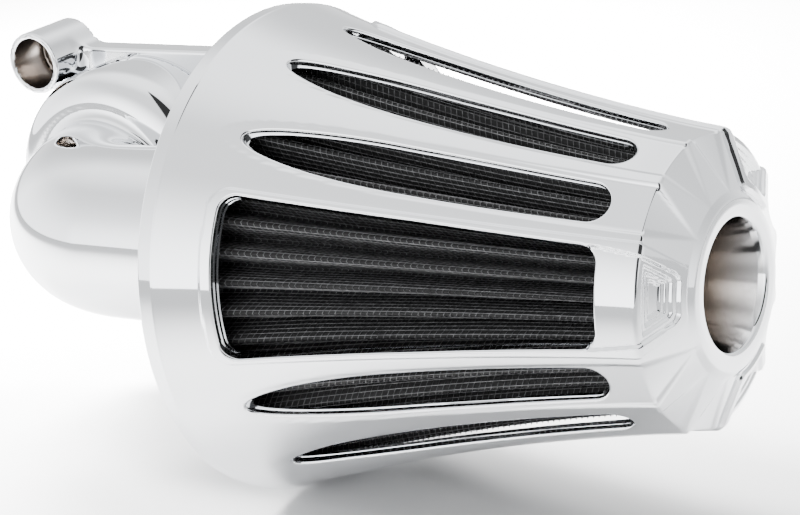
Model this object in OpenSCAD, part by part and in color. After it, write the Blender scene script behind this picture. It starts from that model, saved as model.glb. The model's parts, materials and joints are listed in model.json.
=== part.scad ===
// Side-mount air filter for a V-twin engine: a right-angle intake elbow carries a
// cone-shaped filter under a chrome cover. Origin: centre of the throttle bore on the
// gasket's face. +X runs forward along the cover, -Y is outboard, +Z is up.

/* [Cover] */
// Diameter of the cover at its rim
rim_d = 165; // [150:1:175]
// Width of the plain band around the rim
rim_band = 5.6; // [3:0.1:8]
// Diameter of the cover at its front edge
front_d = 93.7; // [90:0.1:100]
// Distance from the rim to the front edge
front_s = 159; // [155:1:165]
// How far the flared side bows inwards between rim and front edge
flare_bow = 3.55; // [2:0.05:5]
// Wall thickness of the cover
cover_wall = 3; // [2.5:0.1:3.5]
// Diameter of the hole in the nose
nose_hole_d = 40.2; // [38:0.1:42]
// Diameter of the flat floor that the cover screw sits on
funnel_floor_d = 18; // [17:0.5:20]
// Distance from the rim to the funnel's floor
funnel_floor_s = 118; // [116:1:122]

/* [Windows] */
// Angle of the first wide window above the outboard direction
window_turn = 12.2; // [0:0.1:30]
// Where the wide windows and slots start, from the rim
window_start = 25.5; // [24:0.5:32]
// Where the wide windows and slots end, from the rim
window_end = 145.5; // [138:0.5:147]
// Half angle of a wide window, seen along the cover's axis
window_half_angle = 19.6; // [17:0.1:21]
// Width of the raised frame around a wide window
frame_w = 3; // [2:0.1:4]
// Height of the raised frame
frame_h = 1.2; // [0.5:0.1:1.8]
// Greatest width of a narrow slot
slot_w = 16; // [10:0.5:17]
// Diameter of a narrow slot's round front end
slot_end_d = 13.3; // [8:0.1:14]
// Angle between neighbouring narrow slots
slot_pitch = 25; // [24:0.5:26]

/* [Elbow] */
// Outside diameter of the elbow tube
tube_d = 62; // [60:0.5:64]
// Inside diameter of the elbow, at the throttle body and at the filter
bore_d = 55; // [50:0.5:56]
// Radius of the elbow's bend, on its centre line
bend_r = 36; // [34:0.5:42]
// Distance from the throttle flange to the cover's axis
axis_out = 70; // [68:0.5:76]
// Distance from the throttle bore's axis to the cover's rim
rim_x = 108; // [104:0.5:116]
// Outside diameter of the elbow's hub
hub_d = 95; // [94:0.5:98]
// Radius of the hub's rounded shoulder
hub_round = 12; // [8:0.5:13]

/* [Bracket] */
// Thickness of the bracket's plate
plate_t = 9; // [8:0.5:10]
// Outside diameter of a breather boss
boss_d = 23.8; // [22:0.1:26]
// Length of a breather boss
boss_l = 25; // [20:0.5:32]
// Diameter of a boss's counterbore
boss_bore_d = 19.2; // [17:0.1:20]
// Depth of a boss's counterbore
boss_bore_l = 17; // [10:0.5:18]
// Diameter of a breather bolt hole
breather_hole_d = 13.4; // [12.9:0.1:14]
// Height of the breather bolts above the throttle bore
boss_z = 47; // [46:0.5:50]
// Rear breather bolt, behind the throttle bore
rear_boss_x = -40; // [-46:0.5:-38]
// Distance between the breather bolts
boss_spacing = 110; // [104:1:120]
// Bolt circle of the throttle screws
throttle_pcd = 68; // [66:0.5:69]
// Diameter of a throttle screw's hole
throttle_hole_d = 6.8; // [6.5:0.1:7]

/* [Filter] */
// Number of pleats
pleats = 44; // [30:1:46]
// Depth of a pleat
pleat_depth = 12; // [9:0.5:12]
// Gap from the cover's outside to the pleats' ridges
media_inset = 7; // [6.6:0.1:8]

/* [Hidden] */

$fn = 96;
fit_gap = 0.05;     // radial gap of a running fit
body_gap = 0.3;     // gap between pieces that come apart
cut = 1;            // how far a cutter runs past a face

// Throttle side, measured outboard from the flange (h)
gasket_t = 1;
gasket_d = 90;
plate_back = gasket_t;
plate_front = plate_back + plate_t;
spigot_d = 82;
spigot_front = plate_front + 7;
hub_round_h = 27;   // where the hub's straight skirt ends
bracket_d = 97;
boss_bottom = 0;
bar_h = 17;         // height of the bar that joins the bosses
set_screw_h = 15;
set_screw_turn = 97;
set_screw_d = 8;
head_bore_d = 10.8; // counterbore for a throttle screw's head
head_bore_l = 3.4;
spigot_gap = 0.2;
o_ring_d = 2.6;
o_ring_h = plate_front + 1.9;

// Filter side, measured forward from the rim (s)
flange_t = 6;
flange_d = 84;
plate_s = 2.5;      // back of the backing plate
plate_gasket_t = 0.8;
backing_t = 4;
backing_front = plate_s + backing_t;
backing_d = 152;
plate_screw_pcd = 72;
plate_screw_d = 5;
plate_screw_l = 11;
plate_hole_d = 5.4;
plate_head_d = 9.5;
plate_head_h = 2.8;
plate_hex_d = 3.4;
spider_back = -20;
spider_t = 8;
spider_hub_d = 20;
spoke_w = 5;
nut_t = 6.5;
nut_d = 15;
stud_d = 12;
stud_tail = 8;       // thread behind the spider, for the nut
stud_bore_l = 26;
thread_d = 8;
stud_end = 112.2;
cup_floor_s = 110;
cup_floor_t = 2.5;
cup_d = 44;
cup_wall = 1.5;
mesh_t = 0.6;       // thicknesses of the pleated layers, measured radially
cotton_t = 1.6;
ply_gap = 0.2;
plate_seal_t = 1;
base_ring_s = backing_front + body_gap + plate_seal_t;
base_ring_d = 148;
base_ring_hole_d = 112;
base_ring_front = 16;
end_cap_back = 147;
end_cap_front = 151.5;
funnel_t = 3.5;
pad_w = 18;
washer_d = 16;
washer_t = 1.5;
screw_head_s = funnel_floor_s + washer_t + 2 * fit_gap;
screw_head_d = 13;
screw_head_h = 8;
screw_hex_d = 6.9;
screw_reach = 20;    // length of thread inside the stud
frame_front = 33;   // width over a frame's ridges at the front edge
frame_tip = 19;     // and where they close on the nose
panel_w = 25;       // width between the ridges
trough_w = 19.6;
trough_depth = 1;
trough_lead = 0.3;  // how far the trough's line starts outside the cover
trough_start = 40;
trough_steps = 8;
lip_s = 168.4;
apex_r = 29;
apex_s = 166.5;

// Radius of the flared side at distance s from the rim: a shallow arc
flare_len = front_s - rim_band;
function flare(s) = let (t = (s - rim_band) / flare_len)
    rim_d / 2 + (front_d - rim_d) / 2 * t - 4 * flare_bow * t * (1 - t);

// Places children on the cover's axis, their z along +X
module on_axis(s = 0) {
    translate([rim_x + s, -axis_out, 0]) rotate([0, 90, 0]) children();
}

// Places children on the throttle bore's axis, their z outboard
module on_hub(h = 0) {
    translate([0, -h, 0]) rotate([90, 0, 0]) children();
}

// Turns children to face out of the cover's side: x forward, z outwards at an angle above outboard
module at_window(angle) {
    rotate([0, 0, -angle]) rotate([90, -90, 0]) children();
}

module tube(d_out, d_in, h) {
    difference() {
        cylinder(d = d_out, h = h);
        translate([0, 0, -cut]) cylinder(d = d_in, h = h + 2 * cut);
    }
}

module ring_of(count, pcd, turn = 0) {
    for (i = [0 : count - 1]) rotate([0, 0, turn + 360 * i / count]) translate([pcd / 2, 0, 0]) children();
}

module o_ring(d, section_d) {
    rotate_extrude() translate([d / 2, 0]) circle(d = section_d, $fn = 24);
}

// ---- Throttle side ----

module bar_outline() {
    front_x = rear_boss_x + boss_spacing;
    translate([rear_boss_x, boss_z - bar_h + 3]) square([boss_spacing, bar_h]);
    polygon([[-bracket_d / 2 + 3, 20], [rear_boss_x, boss_z - boss_d / 2 + 1],
             [front_x, boss_z - boss_d / 2 + 1], [bracket_d / 2 - 3, 20]]);
}

module mount_bracket() color("gainsboro") difference() {
    union() {
        on_hub(plate_back) cylinder(d = bracket_d, h = plate_t);
        on_hub(plate_back) linear_extrude(plate_t) bar_outline();
        on_hub(plate_front) cylinder(d = spigot_d, h = spigot_front - plate_front);
        for (x = [rear_boss_x, rear_boss_x + boss_spacing])
            translate([x, 0, boss_z]) on_hub(boss_bottom) cylinder(d = boss_d, h = boss_l);
    }
    on_hub(-cut) cylinder(d = bore_d, h = spigot_front + 2 * cut);
    on_hub(-cut) ring_of(3, throttle_pcd, 30) cylinder(d = throttle_hole_d, h = spigot_front + 2 * cut);
    on_hub(spigot_front - head_bore_l) ring_of(3, throttle_pcd, 30)
        cylinder(d = head_bore_d, h = head_bore_l + cut);
    on_hub(o_ring_h) o_ring(spigot_d - o_ring_d + 0.4, o_ring_d + 0.4);
    for (x = [rear_boss_x, rear_boss_x + boss_spacing]) translate([x, 0, boss_z]) {
        on_hub(-cut) cylinder(d = breather_hole_d, h = boss_l + 2 * cut);
        on_hub(boss_l - boss_bore_l) cylinder(d = boss_bore_d, h = boss_bore_l + cut);
    }
}

module throttle_gasket() color("dimgray") on_hub() difference() {
    tube(gasket_d, bore_d, gasket_t);
    translate([0, 0, -cut]) ring_of(3, throttle_pcd, 30)
        cylinder(d = throttle_hole_d + 0.6, h = gasket_t + 2 * cut);
}

module elbow_o_ring() color("black") on_hub(o_ring_h) o_ring(spigot_d - o_ring_d, o_ring_d);

module bend(d) {
    translate([bend_r, bend_r - axis_out, 0]) rotate([0, 0, 180])
        rotate_extrude(angle = 90) translate([bend_r, 0]) circle(d = d);
}

module hub_outline() {
    ring_r = hub_d / 2 - hub_round;
    translate([0, plate_front]) square([hub_d / 2, hub_round_h - plate_front]);
    translate([0, plate_front]) square([ring_r, hub_round_h + hub_round - plate_front]);
    translate([ring_r, hub_round_h]) circle(r = hub_round);
}

module intake_elbow() color("gainsboro") difference() {
    union() {
        on_hub() rotate_extrude() intersection() {
            hub_outline();
            square([hub_d, 2 * axis_out]);
        }
        on_hub(spigot_front) cylinder(d = tube_d, h = axis_out - bend_r - spigot_front);
        bend(tube_d);
        translate([bend_r, -axis_out, 0]) rotate([0, 90, 0]) cylinder(d = tube_d, h = rim_x - bend_r);
        on_axis(plate_s - plate_gasket_t - flange_t) cylinder(d = flange_d, h = flange_t);
    }
    on_hub(-cut) cylinder(d = bore_d, h = axis_out - bend_r + cut);
    on_hub(-cut) cylinder(d = spigot_d + spigot_gap, h = spigot_front + spigot_gap + cut);
    bend(bore_d);
    translate([bend_r, -axis_out, 0]) rotate([0, 90, 0]) cylinder(d = bore_d, h = rim_x - bend_r + 10);
    on_axis(-10) ring_of(4, plate_screw_pcd, 45) cylinder(d = plate_hole_d, h = 20);
    for (a = [0, 120, 240]) on_hub(set_screw_h) rotate([0, 0, set_screw_turn + a]) rotate([0, 90, 0])
        translate([0, 0, spigot_d / 2 - cut])
            cylinder(d = set_screw_d, h = hub_d / 2 - spigot_d / 2 + 2 * cut);
}

module elbow_set_screws() color("dimgray") for (a = [0, 120, 240])
    on_hub(set_screw_h) rotate([0, 0, set_screw_turn + a]) rotate([0, 90, 0]) difference() {
        translate([0, 0, spigot_d / 2 + 0.1])
            cylinder(d = set_screw_d - 0.1, h = hub_d / 2 - spigot_d / 2 - 1.6);
        translate([0, 0, hub_d / 2 - 4]) cylinder(d = 4, h = 3, $fn = 6);
    }

// ---- Filter side: fixed pieces ----

module backing_plate() color("gainsboro") on_axis(plate_s) difference() {
    cylinder(d = backing_d, h = backing_t);
    translate([0, 0, -cut]) cylinder(d = bore_d, h = backing_t + 2 * cut);
    translate([0, 0, -cut]) ring_of(4, plate_screw_pcd, 45) cylinder(d = plate_hole_d, h = backing_t + 2 * cut);
}

module plate_gasket() color("dimgray") on_axis(plate_s - plate_gasket_t) difference() {
    tube(flange_d, bore_d + 1, plate_gasket_t);
    translate([0, 0, -cut]) ring_of(4, plate_screw_pcd, 45) cylinder(d = plate_hole_d, h = 3);
}

module plate_screws() color("silver") on_axis(backing_front) ring_of(4, plate_screw_pcd, 45) difference() {
    union() {
        cylinder(d = plate_head_d, h = plate_head_h);
        translate([0, 0, -plate_screw_l]) cylinder(d = plate_screw_d, h = plate_screw_l + cut);
    }
    translate([0, 0, plate_head_h / 3]) cylinder(d = plate_hex_d, h = plate_head_h, $fn = 6);
}

module stud_spider() color("silver") on_axis(spider_back) difference() {
    intersection() {
        union() {
            cylinder(d = spider_hub_d, h = spider_t);
            for (a = [0, 120, 240]) rotate([0, 0, a]) translate([0, -spoke_w / 2, 0])
                cube([bore_d, spoke_w, spider_t]);
        }
        cylinder(d = bore_d - fit_gap, h = spider_t);
    }
    translate([0, 0, -cut]) cylinder(d = thread_d + 2 * fit_gap, h = spider_t + 2 * cut);
}

module stud_nut() color("silver") on_axis(spider_back - nut_t) difference() {
    cylinder(d = nut_d, h = nut_t, $fn = 6);
    translate([0, 0, -cut]) cylinder(d = thread_d + 2 * fit_gap, h = nut_t + 2 * cut);
}

module centre_stud() color("silver") difference() {
    union() {
        on_axis(spider_back + spider_t) cylinder(d = stud_d, h = stud_end - spider_back - spider_t);
        on_axis(spider_back - stud_tail) cylinder(d = thread_d, h = spider_t + stud_tail + cut);
    }
    on_axis(stud_end - stud_bore_l) cylinder(d = thread_d + 2 * fit_gap, h = stud_bore_l + cut);
}

// ---- Filter element ----

module filter_plate_seal() color("black") on_axis(backing_front + body_gap)
    tube(base_ring_d - 2, base_ring_d - 20, plate_seal_t);

module filter_base_ring() color("dimgray") on_axis(base_ring_s)
    tube(base_ring_d, base_ring_hole_d, base_ring_front - base_ring_s);

// Pleated sleeve between two radial offsets from the ridges' cone, closed all round. Both
// sides are split along the same diagonals, so that sleeves inside each other never cross.
module pleated_sleeve(outer, inner) {
    steps = 3;
    per = 2 * pleats;
    function point(offset, j, k) =
        let (s = base_ring_front + (end_cap_back - base_ring_front) * j / steps,
             r = flare(s) - media_inset - offset - pleat_depth * (k % 2), a = 360 * k / per)
        [r * cos(a), r * sin(a), s];
    // Number of a point: outside rings first, then inside rings
    function at(side, j, k) = (side * (steps + 1) + j) * per + k % per;
    function wall(j, k) = let (a = at(0, j, k), b = at(0, j, k + 1), c = at(0, j + 1, k + 1), d = at(0, j + 1, k),
        e = at(1, j, k), f = at(1, j, k + 1), g = at(1, j + 1, k + 1), h = at(1, j + 1, k))
        [[a, d, c], [a, c, b], [e, g, h], [e, f, g]];
    function rim(j, k) = let (a = at(0, j, k), b = at(0, j, k + 1), c = at(1, j, k + 1), d = at(1, j, k))
        j == 0 ? [[a, b, c], [a, c, d]] : [[a, c, b], [a, d, c]];
    points = [for (offset = [outer, inner], j = [0 : steps], k = [0 : per - 1]) point(offset, j, k)];
    faces = [for (k = [0 : per - 1])
        each concat([for (j = [0 : steps - 1]) each wall(j, k)], rim(0, k), rim(steps, k))];
    on_axis() rotate([0, 0, 180 - window_turn]) polyhedron(points = points, faces = faces);
}

module filter_media() color("black") pleated_sleeve(mesh_t + ply_gap, mesh_t + ply_gap + cotton_t);

module filter_outer_mesh() color("gray") pleated_sleeve(0, mesh_t);

module filter_inner_mesh() color("gray")
    pleated_sleeve(mesh_t + cotton_t + 2 * ply_gap, 2 * mesh_t + cotton_t + 2 * ply_gap);

module filter_end_cap() color("dimgray") difference() {
    union() {
        on_axis(end_cap_back)
            cylinder(r = flare(end_cap_front) - cover_wall - 1.6, h = end_cap_front - end_cap_back);
        on_axis(cup_floor_s) cylinder(d = cup_d + 2 * cup_wall, h = end_cap_back - cup_floor_s);
    }
    on_axis(cup_floor_s + cup_floor_t) cylinder(d = cup_d, h = end_cap_front);
    on_axis(cup_floor_s - cut) cylinder(d = stud_d + 2 * body_gap, h = cup_floor_t + 2 * cut);
}

// ---- Cover ----

flare_steps = 12;
function flare_points(from, to, off) = [for (i = [0 : flare_steps])
    let (s = from + (to - from) * i / flare_steps) [flare(s) + off, s]];

// Half section of the cover: outside, nose, funnel, then back along the inside
module cover_section() {
    lip_r = nose_hole_d / 2;
    floor_r = funnel_floor_d / 2;
    inner_front = front_s - 1.5;
    polygon(concat(
        [[rim_d / 2 - 1, 0], [rim_d / 2, 1]],
        flare_points(rim_band, front_s - 1.2, 0),
        [[front_d / 2 - 0.6, front_s + 0.4], [apex_r, apex_s], [apex_r - 2, lip_s - 0.5],
         [apex_r - 4.5, lip_s], [lip_r + 1.6, lip_s - 1], [lip_r, lip_s - 2.8],
         [floor_r, funnel_floor_s], [0, funnel_floor_s], [0, funnel_floor_s - funnel_t],
         [floor_r + 2, funnel_floor_s - funnel_t], [lip_r + 2, lip_s - cover_wall - 3.5],
         [apex_r, apex_s - cover_wall - 1], [front_d / 2 - cover_wall - 1, inner_front - 1.5]],
        flare_points(front_s - 8, rim_band, -cover_wall - 0.2),
        [[rim_d / 2 - cover_wall, rim_band], [rim_d / 2 - cover_wall, 0]]));
}

// Corner arcs joined into one outline; each corner is [x, y, radius, first angle]
function corner_arc(c) = [for (i = [0 : 5]) let (a = c[3] + 90 * i / 5)
    [c[0] + c[2] * cos(a), c[1] + c[2] * sin(a)]];

// Wide window seen from outside; x runs forward, grow widens it all round
module window_outline(grow = 0) {
    half_back = flare(window_start) * sin(window_half_angle) + grow;
    half_front = flare(window_end) * sin(window_half_angle - 1.5) + grow;
    r = 5 + grow / 2;
    x0 = window_start - grow;
    x1 = window_end + grow;
    polygon(concat(
        corner_arc([x1 - r, half_front - r, r, 0]), corner_arc([x0 + r, half_back - r, r, 90]),
        corner_arc([x0 + r, -half_back + r, r, 180]), corner_arc([x1 - r, -half_front + r, r, 270])));
}

// Narrow slot: a pointed ellipse end towards the rim, a round end at the front
module slot_outline() {
    belly = 75;
    end_r = slot_end_d / 2;
    side = [for (i = [0 : 8]) let (s = window_start + 1.5 + (belly - window_start - 1.5) * pow(i / 8, 1.6))
        [s, slot_w / 2 * sqrt(1 - pow((belly - s) / (belly - window_start - 1.2), 2))]];
    round_end = [for (a = [80 : -16 : -80]) [window_end - end_r + end_r * cos(a), end_r * sin(a)]];
    polygon(concat(side, round_end, [for (i = [8 : -1 : 0]) [side[i][0], -side[i][1]]]));
}

// Extrudes an outline (x forward) outwards through the cover's side at an angle
module through_side(angle, from = 20) {
    at_window(angle) translate([0, 0, from]) linear_extrude(rim_d / 2 + 10 - from) children();
}

// Region between the cover's outside raised by "up" and the same surface sunk by the wall
module skin_band(up) {
    rotate_extrude() polygon(concat(flare_points(rim_band, front_s, up),
        [[apex_r, apex_s + up], [apex_r, apex_s - cover_wall]], flare_points(front_s, rim_band, -cover_wall)));
}

// Outline on the nose that carries a window's frame over the front edge; x is the radius
module nose_outline(half_edge, half_tip, tip_r) {
    polygon([[tip_r, -half_tip], [front_d / 2 + 4, -half_edge], [front_d / 2 + 4, half_edge], [tip_r, half_tip]]);
}

module on_nose(angle) {
    rotate([0, 0, 270 - angle]) translate([0, 0, front_s - 6]) linear_extrude(20) children();
}

module window_frame(angle) difference() {
    intersection() {
        skin_band(frame_h);
        union() {
            through_side(angle) union() {
                window_outline(frame_w);
                translate([window_end - 8, -frame_front / 2]) square([front_s - window_end + 10, frame_front]);
            }
            on_nose(angle) nose_outline(frame_front / 2, frame_tip / 2, apex_r);
        }
    }
    through_side(angle, 40) translate([window_end - 10, -panel_w / 2])
        square([front_s - window_end + 20, panel_w]);
    on_nose(angle) nose_outline(panel_w / 2, frame_tip / 2 - 3, apex_r + 3.5);
}

// Shallow trough along a narrow slot that ends as a flat facet on the nose
module slot_trough(angle) {
    at_window(angle) rotate([90, 0, 0]) translate([0, 0, -trough_w / 2]) linear_extrude(trough_w)
        polygon(concat(
            [for (i = [0 : trough_steps])
                let (t = i / trough_steps, s = trough_start + (front_s - trough_start) * t)
                [s, flare(s) - trough_depth * t + trough_lead * (1 - t)]],
            [[apex_s + 0.2, apex_r - 0.5], [apex_s + 6, apex_r - 0.5],
            [apex_s + 6, rim_d / 2], [trough_start, rim_d / 2]]));
}

module cover_shell() color("gainsboro") on_axis() difference() {
    union() {
        rotate_extrude() cover_section();
        for (i = [0 : 2]) window_frame(window_turn + 120 * i);
    }
    for (i = [0 : 2]) {
        through_side(window_turn + 120 * i, 24) window_outline();
        for (k = [-1 : 1]) {
            through_side(window_turn + 60 + 120 * i + k * slot_pitch, 24) slot_outline();
            slot_trough(window_turn + 60 + 120 * i + k * slot_pitch);
        }
    }
    translate([0, 0, funnel_floor_s - funnel_t - cut])
        cylinder(d = thread_d + 2 * fit_gap, h = funnel_t + 2 * cut);
}

module cover_rim_pads() color("black") on_axis(plate_s) intersection() {
    tube(rim_d - 2 * cover_wall, backing_d + 2 * body_gap, rim_band - plate_s);
    for (i = [0 : 2]) rotate([0, 0, 60 + 120 * i]) translate([0, -pad_w / 2, 0])
        cube([rim_d, pad_w, backing_t]);
}

module cover_seal_washer() color("black") on_axis(stud_end + 2 * body_gap)
    tube(washer_d, thread_d + 1, funnel_floor_s - funnel_t - stud_end - 2 * body_gap);

module screw_washer() color("silver") on_axis(funnel_floor_s + 0.05)
    tube(washer_d, thread_d + 2 * fit_gap, washer_t);

module cover_screw() color("silver") difference() {
    union() {
        on_axis(screw_head_s) cylinder(d = screw_head_d, h = screw_head_h);
        on_axis(stud_end - screw_reach) cylinder(d = thread_d, h = screw_head_s + cut - stud_end + screw_reach);
    }
    on_axis(screw_head_s + screw_head_h / 2) cylinder(d = screw_hex_d, h = screw_head_h, $fn = 6);
}

mount_bracket();
throttle_gasket();
intake_elbow();
elbow_o_ring();
elbow_set_screws();
backing_plate();
plate_gasket();
plate_screws();
stud_spider();
stud_nut();
centre_stud();
filter_base_ring();
filter_media();
filter_outer_mesh();
filter_inner_mesh();
filter_end_cap();
filter_plate_seal();
cover_shell();
cover_rim_pads();
cover_seal_washer();
screw_washer();
cover_screw();
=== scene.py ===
"""Looks for the cone air filter: chrome cover, pleated element with wire mesh, elbow and bracket.

Lengths in the shape code are millimetres. The cover and the filter are drawn in the cover's own
frame: s runs forward from the rim, and angles are degrees above outboard. The castings are drawn
in the row frame. make_piece turns all of them into metres.
"""

import json
import math

import bpy
import numpy as np
from mathutils import Matrix, Vector


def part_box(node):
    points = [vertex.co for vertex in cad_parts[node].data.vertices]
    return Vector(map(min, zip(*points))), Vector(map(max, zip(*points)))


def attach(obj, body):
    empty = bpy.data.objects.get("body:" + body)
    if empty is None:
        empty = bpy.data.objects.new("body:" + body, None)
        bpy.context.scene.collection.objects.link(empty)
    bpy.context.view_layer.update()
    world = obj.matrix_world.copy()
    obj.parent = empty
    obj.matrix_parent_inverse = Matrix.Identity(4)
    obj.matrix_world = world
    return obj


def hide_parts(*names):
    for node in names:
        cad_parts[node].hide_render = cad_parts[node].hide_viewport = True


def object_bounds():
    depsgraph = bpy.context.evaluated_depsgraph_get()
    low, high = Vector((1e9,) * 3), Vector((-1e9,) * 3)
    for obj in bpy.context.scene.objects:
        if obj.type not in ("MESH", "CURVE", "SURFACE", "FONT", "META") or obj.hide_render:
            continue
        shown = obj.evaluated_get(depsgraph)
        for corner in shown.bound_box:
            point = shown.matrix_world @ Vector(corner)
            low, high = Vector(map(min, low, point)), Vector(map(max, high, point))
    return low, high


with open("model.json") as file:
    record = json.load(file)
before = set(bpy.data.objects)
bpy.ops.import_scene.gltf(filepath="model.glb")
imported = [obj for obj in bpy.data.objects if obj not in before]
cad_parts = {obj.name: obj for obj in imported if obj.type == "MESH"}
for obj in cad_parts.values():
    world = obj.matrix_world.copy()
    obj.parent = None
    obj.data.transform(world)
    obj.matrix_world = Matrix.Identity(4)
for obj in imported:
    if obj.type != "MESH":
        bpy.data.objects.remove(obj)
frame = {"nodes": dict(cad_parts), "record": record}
cad_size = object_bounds()

MM = 0.001
shell_low, shell_high = (np.array(v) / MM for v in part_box("cover_shell"))
RIM_X = shell_low[0]
AXIS_Y = (shell_low[1] + shell_high[1]) / 2
AXIS_Z = (shell_low[2] + shell_high[2]) / 2
WINDOW_TURN = 12.2


# ---------------------------------------------------------------- meshes

def row_point(s, across, up):
    """Cover frame (forward, towards -Y, up) to row-frame millimetres."""
    return np.stack([RIM_X + s, AXIS_Y - across, AXIS_Z + up], -1)


def around(s, r, angle):
    a = np.radians(angle)
    return row_point(s, r * np.cos(a), r * np.sin(a))


def make_piece(name, points, faces, material, body, normals=None, replaces=()):
    """A mesh object from row-frame millimetres, riding on a body."""
    mesh = bpy.data.meshes.new(name)
    mesh.from_pydata((np.asarray(points) * MM).tolist(), [], [list(map(int, f)) for f in faces])
    mesh.materials.append(material)
    mesh.shade_smooth()
    if normals is not None:
        mesh.normals_split_custom_set_from_vertices(np.asarray(normals).tolist())
    obj = bpy.data.objects.new(name, mesh)
    bpy.context.scene.collection.objects.link(obj)
    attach(obj, body)
    if replaces:
        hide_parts(*replaces)
    return obj


def smooth(low, high, value):
    t = np.clip((value - low) / (high - low), 0, 1)
    return t * t * (3 - 2 * t)


def length(*parts):
    return np.sqrt(sum(p * p for p in parts))


# ---------------------------------------------------------------- cover: profile

RIM_R, BAND = 82.5, 5.6
EDGE_S, EDGE_R = 159.0, 46.85
APEX_S, APEX_R = 166.5, 29.0
LIP_S, LIP_R, HOLE_R = 168.4, 24.6, 20.1
WALL = 3.0


def flare(s):
    return 84.14 - 0.3318 * s + 0.000604 * s * s


def rounded_path(corners, spacing):
    """Polyline through corners [(s, r, radius)], with an arc at each corner that has a radius."""
    points = [np.array(c[:2], float) for c in corners]
    out = [points[0]]
    for i in range(1, len(points) - 1):
        p, a, b, radius = points[i], points[i - 1] - points[i], points[i + 1] - points[i], corners[i][2]
        la, lb = np.linalg.norm(a), np.linalg.norm(b)
        a, b = a / la, b / lb
        half = math.acos(np.clip(a @ b, -1, 1)) / 2
        if radius <= 0 or half > math.pi / 2 - 1e-4:
            out.append(p)
            continue
        reach = min(radius / math.tan(half), 0.49 * la, 0.49 * lb)
        radius = reach * math.tan(half)
        centre = p + (a + b) / np.linalg.norm(a + b) * radius / math.sin(half)
        start, end = p + a * reach - centre, p + b * reach - centre
        turn = math.atan2(start[0] * end[1] - start[1] * end[0], start @ end)
        steps = max(3, int(abs(turn) * radius / (spacing * 0.25)))
        for k in range(steps + 1):
            t = turn * k / steps
            c, n = math.cos(t), math.sin(t)
            out.append(centre + np.array([c * start[0] - n * start[1], n * start[0] + c * start[1]]))
    out.append(points[-1])
    return np.array(out)


def outer_corners():
    """Rim face, band, flared side, nose, domed lip, funnel and its floor."""
    side = [(s, flare(s), 400.0) for s in np.linspace(12, 150, 24)]
    return ([(0.0, RIM_R - WALL, 0), (0.0, RIM_R - 0.1, 0.9), (BAND, RIM_R, 0.35),
             (BAND + 0.5, flare(BAND + 0.5) + 0.1, 0.3)]
            + side + [(EDGE_S, EDGE_R, 1.9), (APEX_S, APEX_R, 1.2), (LIP_S - 0.35, APEX_R - 2.2, 1.2),
                      (LIP_S, LIP_R, 2.5), (LIP_S - 0.25, HOLE_R + 0.9, 1.6), (LIP_S - 3.4, HOLE_R, 1.6),
                      (118.0, 9.0, 1.0), (118.0, 4.1, 0)])


class Profile:
    """A half section as a function of arc length u."""

    def __init__(self, path):
        keep = np.r_[True, np.linalg.norm(np.diff(path, axis=0), axis=1) > 1e-4]
        self.path = path[keep]
        self.u = np.r_[0, np.cumsum(np.linalg.norm(np.diff(self.path, axis=0), axis=1))]
        tangent = np.gradient(self.path, self.u, axis=0)
        tangent /= np.linalg.norm(tangent, axis=1)[:, None]
        self.normal = np.stack([-tangent[:, 1], tangent[:, 0]], -1)

    def at(self, u):
        s = np.interp(u, self.u, self.path[:, 0])
        r = np.interp(u, self.u, self.path[:, 1])
        ns = np.interp(u, self.u, self.normal[:, 0])
        nr = np.interp(u, self.u, self.normal[:, 1])
        size = np.hypot(ns, nr)
        return s, r, ns / size, nr / size

    def find(self, s=None, r=None, after=0.0):
        """Arc length where the path first reaches that s or r, past a given arc length."""
        values = self.path[:, 0] if s is not None else self.path[:, 1]
        goal = s if s is not None else r
        for i in range(len(values) - 1):
            if self.u[i + 1] > after and (values[i] - goal) * (values[i + 1] - goal) <= 0:
                step = values[i + 1] - values[i]
                t = (goal - values[i]) / step if abs(step) > 1e-9 else 0
                return self.u[i] + t * (self.u[i + 1] - self.u[i])
        raise ValueError(f"the profile never reaches {goal}")


# ---------------------------------------------------------------- cover: openings and relief

WINDOW_START, WINDOW_END, WINDOW_CORNER = 25.3, 145.7, 5.0
WINDOW_BOW = 1.0
SLOT_ANGLES = (35.0, 60.0)
SLOT_BELLY, SLOT_TIP, SLOT_HALF, SLOT_END_HALF = 75.0, 27.0, 8.0, 6.65
FRAME_HEIGHT, FRAME_ANGLE, FRAME_START = 1.3, 22.0, 20.8
TROUGH_TIP, TROUGH_DEPTH, TROUGH_HALVES = 19.0, 1.55, (9.8, 8.2)
POCKET_STEPS = ((0.9, 0.1, -0.9), (0.7, -1.5, -2.3), (0.6, -3.0, -3.8))
FACET_TIP_R, FRAME_TIP_R, PANEL_TIP_R, POCKET_R = 28.2, 28.9, 32.6, (34.0, 44.8)
FOLLOW_TURN = 4.3
EDGE_ROUND = 0.9


def folded(angle):
    """Angle from the nearest wide window's centre, 0 to 60."""
    return np.abs((angle - WINDOW_TURN + 60) % 120 - 60)


def window_half_angle(s):
    return np.interp(s, [20, 30, 90, 142, 160], [20.1, 19.9, 19.3, 18.05, 17.7])


def rounded_box(dx, dy, corner):
    dx, dy = dx + corner, dy + corner
    return np.hypot(np.maximum(dx, 0), np.maximum(dy, 0)) + np.minimum(np.maximum(dx, dy), 0) - corner


def bowed(start, w):
    """Start of a window or frame, which bows forward away from its middle."""
    return start + WINDOW_BOW * (w / 25) ** 2


def window_distance(s, r, angle):
    w = r * np.sin(np.radians(angle))
    half = r * np.sin(np.radians(window_half_angle(s)))
    ends = np.maximum(bowed(WINDOW_START, w) - s, s - WINDOW_END)
    return rounded_box(ends, w - half, WINDOW_CORNER)


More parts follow.
